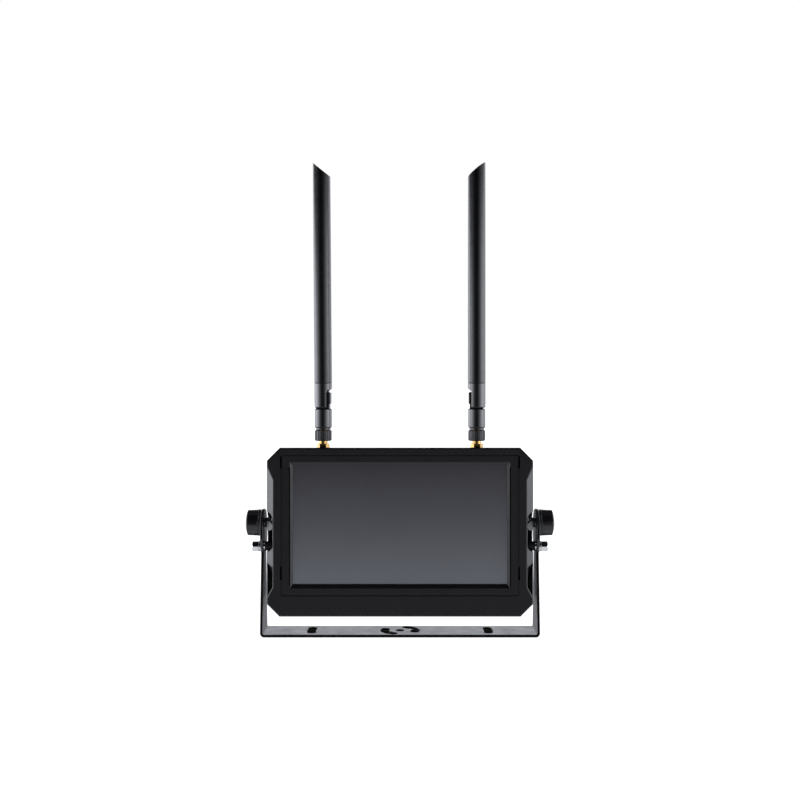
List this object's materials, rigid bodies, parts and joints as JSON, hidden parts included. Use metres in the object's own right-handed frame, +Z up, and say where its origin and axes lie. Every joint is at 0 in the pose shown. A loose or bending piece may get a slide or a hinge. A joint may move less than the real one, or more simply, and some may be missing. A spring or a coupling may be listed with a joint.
{
  "type": "vehicle rear-view monitor",
  "caption": "Seven-inch wireless rear-view monitor with two folding whip antennas, tilting in a bent steel U-bracket between side clamp knobs and lock bolts.",
  "frame": {"origin": "centre of the bracket's middle screw hole, on the underside of its base", "axes": "+Z up out of the base, the screen faces -Y, +X to the right of a person facing the screen"},
  "size_m": [0.2246, 0.03, 0.3428],
  "materials": {
    "bracket_powder_coat": "satin black powder coat on steel, fine orange peel",
    "housing_plastic": "fine spark-eroded black moulding texture",
    "bezel_plastic": "smooth satin black moulding",
    "knob_plastic": "semi-gloss black, fluted",
    "screen_glass": "dark tinted cover glass",
    "panel_black": "black display panel",
    "light_guide": "white reflector and light guide",
    "zinc_steel": "bright zinc plate",
    "chassis_steel": "plain sheet steel",
    "gold_brass": "gold-plated brass",
    "copper_wire": "bare copper and brass",
    "antenna_plastic": "satin black whip moulding",
    "pad_rubber": "black rubber",
    "circuit_board": "green solder mask",
    "chip_plastic": "moulded component packages",
    "cable_jacket": "cable jacket",
    "ribbon_film": "amber polyimide film",
    "speaker_paper": "coated paper cone"
  },
  "bodies": {
    "bracket": {"u_bracket": "bracket_powder_coat"},
    "monitor": {"backlight_unit": "light_guide", "coax_pigtails": "cable_jacket", "cover_lens": "screen_glass", "display_ffc": "ribbon_film", "display_gasket": "pad_rubber", "front_bezel": "bezel_plastic", "housing_screws": "zinc_steel", "housing_seal": "pad_rubber", "keypad_pcb": "circuit_board", "lcd_chassis": "chassis_steel", "lcd_panel": "panel_black", "led_strip": "light_guide", "lock_bolts": "zinc_steel", "lock_flat_washers": "zinc_steel", "lock_spacers": "pad_rubber", "lock_spring_washers": "zinc_steel", "main_pcb": "circuit_board", "pcb_components": "chip_plastic", "pcb_screws": "zinc_steel", "pivot_spacers": "pad_rubber", "power_socket": "chip_plastic", "rear_housing": "housing_plastic", "screen_frame": "bezel_plastic", "side_inserts": "zinc_steel", "side_pads": "pad_rubber", "sma_jacks": "gold_brass", "sma_lock_washers": "gold_brass", "sma_nuts": "gold_brass", "speaker_cone": "speaker_paper", "speaker_frame": "chassis_steel", "tact_switches": "chip_plastic", "wireless_pcb": "circuit_board", "wireless_shield": "chassis_steel"},
    "knob_left_washer": {"knob_washer_left": "zinc_steel"},
    "knob_left": {"knob_left": "knob_plastic", "knob_stud_left": "zinc_steel"},
    "antenna_left_base": {"antenna_connector_left": "gold_brass"},
    "antenna_left_nut": {"antenna_nut_left": "antenna_plastic"},
    "antenna_left_sleeve": {"antenna_sleeve_left": "antenna_plastic", "antenna_hinge_pin_left": "zinc_steel"},
    "antenna_left_whip": {"antenna_hinge_housing_left": "antenna_plastic", "antenna_radome_left": "antenna_plastic", "antenna_element_left": "copper_wire"},
    "knob_right_washer": {"knob_washer_right": "zinc_steel"},
    "knob_right": {"knob_right": "knob_plastic", "knob_stud_right": "zinc_steel"},
    "antenna_right_base": {"antenna_connector_right": "gold_brass"},
    "antenna_right_nut": {"antenna_nut_right": "antenna_plastic"},
    "antenna_right_sleeve": {"antenna_sleeve_right": "antenna_plastic", "antenna_hinge_pin_right": "zinc_steel"},
    "antenna_right_whip": {"antenna_hinge_housing_right": "antenna_plastic", "antenna_radome_right": "antenna_plastic", "antenna_element_right": "copper_wire"},
    "button_power": {"button_power": "knob_plastic"},
    "button_menu": {"button_menu": "knob_plastic"},
    "button_down": {"button_down": "knob_plastic"},
    "button_up": {"button_up": "knob_plastic"},
    "button_source": {"button_source": "knob_plastic"}
  },
  "joints": [
    {"name": "monitor_tilt", "type": "hinge", "parent": "bracket", "child": "monitor", "pos_m": [0, 0, 0.0805], "axis": [1, 0, 0], "range_deg": [-22, 22]},
    {"name": "knob_left_travel", "type": "slide", "parent": "monitor", "child": "knob_left_washer", "axis": [-1, 0, 0], "range_m": [0, 0.0014]},
    {"name": "knob_left_turn", "type": "hinge", "parent": "knob_left_washer", "child": "knob_left", "pos_m": [-0.1063, 0, 0.0805], "axis": [-1, 0, 0], "range_deg": [0, 631]},
    {"name": "antenna_left_lift", "type": "slide", "parent": "monitor", "child": "antenna_left_base", "axis": [0, 0, 1], "range_m": [0, 0.00353]},
    {"name": "antenna_left_nut_turn", "type": "hinge", "parent": "antenna_left_base", "child": "antenna_left_nut", "pos_m": [-0.0559, 0, 0.144], "axis": [0, 0, 1], "range_deg": [0, 1801]},
    {"name": "antenna_left_swivel", "type": "hinge", "parent": "antenna_left_base", "child": "antenna_left_sleeve", "pos_m": [-0.0559, 0, 0.156], "axis": [0, 0, 1], "continuous": true},
    {"name": "antenna_left_fold", "type": "hinge", "parent": "antenna_left_sleeve", "child": "antenna_left_whip", "pos_m": [-0.0559, 0, 0.1711], "axis": [0.1564, 0.9877, 0], "range_deg": [0, 90]},
    {"name": "knob_right_travel", "type": "slide", "parent": "monitor", "child": "knob_right_washer", "axis": [1, 0, 0], "range_m": [0, 0.0014]},
    {"name": "knob_right_turn", "type": "hinge", "parent": "knob_right_washer", "child": "knob_right", "pos_m": [0.1063, 0, 0.0805], "axis": [1, 0, 0], "range_deg": [0, 631]},
    {"name": "antenna_right_lift", "type": "slide", "parent": "monitor", "child": "antenna_right_base", "axis": [0, 0, 1], "range_m": [0, 0.00353]},
    {"name": "antenna_right_nut_turn", "type": "hinge", "parent": "antenna_right_base", "child": "antenna_right_nut", "pos_m": [0.0559, 0, 0.144], "axis": [0, 0, 1], "range_deg": [0, 1801]},
    {"name": "antenna_right_swivel", "type": "hinge", "parent": "antenna_right_base", "child": "antenna_right_sleeve", "pos_m": [0.0559, 0, 0.156], "axis": [0, 0, 1], "continuous": true},
    {"name": "antenna_right_fold", "type": "hinge", "parent": "antenna_right_sleeve", "child": "antenna_right_whip", "pos_m": [0.0559, 0, 0.1711], "axis": [-0.1564, -0.9877, 0], "range_deg": [0, 90]},
    {"name": "button_power_press", "type": "slide", "parent": "monitor", "child": "button_power", "axis": [0, 0, -1], "range_m": [0, 0.0007], "stiffness_N_per_m": 600},
    {"name": "button_menu_press", "type": "slide", "parent": "monitor", "child": "button_menu", "axis": [0, 0, -1], "range_m": [0, 0.0007], "stiffness_N_per_m": 600},
    {"name": "button_down_press", "type": "slide", "parent": "monitor", "child": "button_down", "axis": [0, 0, -1], "range_m": [0, 0.0007], "stiffness_N_per_m": 600},
    {"name": "button_up_press", "type": "slide", "parent": "monitor", "child": "button_up", "axis": [0, 0, -1], "range_m": [0, 0.0007], "stiffness_N_per_m": 600},
    {"name": "button_source_press", "type": "slide", "parent": "monitor", "child": "button_source", "axis": [0, 0, -1], "range_m": [0, 0.0007], "stiffness_N_per_m": 600}
  ],
  "couplings": [
    {"joint": "knob_left_turn", "follows": "knob_left_travel", "rad_per_m": 7854},
    {"joint": "antenna_left_nut_turn", "follows": "antenna_left_lift", "rad_per_m": 8904.7},
    {"joint": "knob_right_turn", "follows": "knob_right_travel", "rad_per_m": 7854},
    {"joint": "antenna_right_nut_turn", "follows": "antenna_right_lift", "rad_per_m": 8904.7}
  ]
}
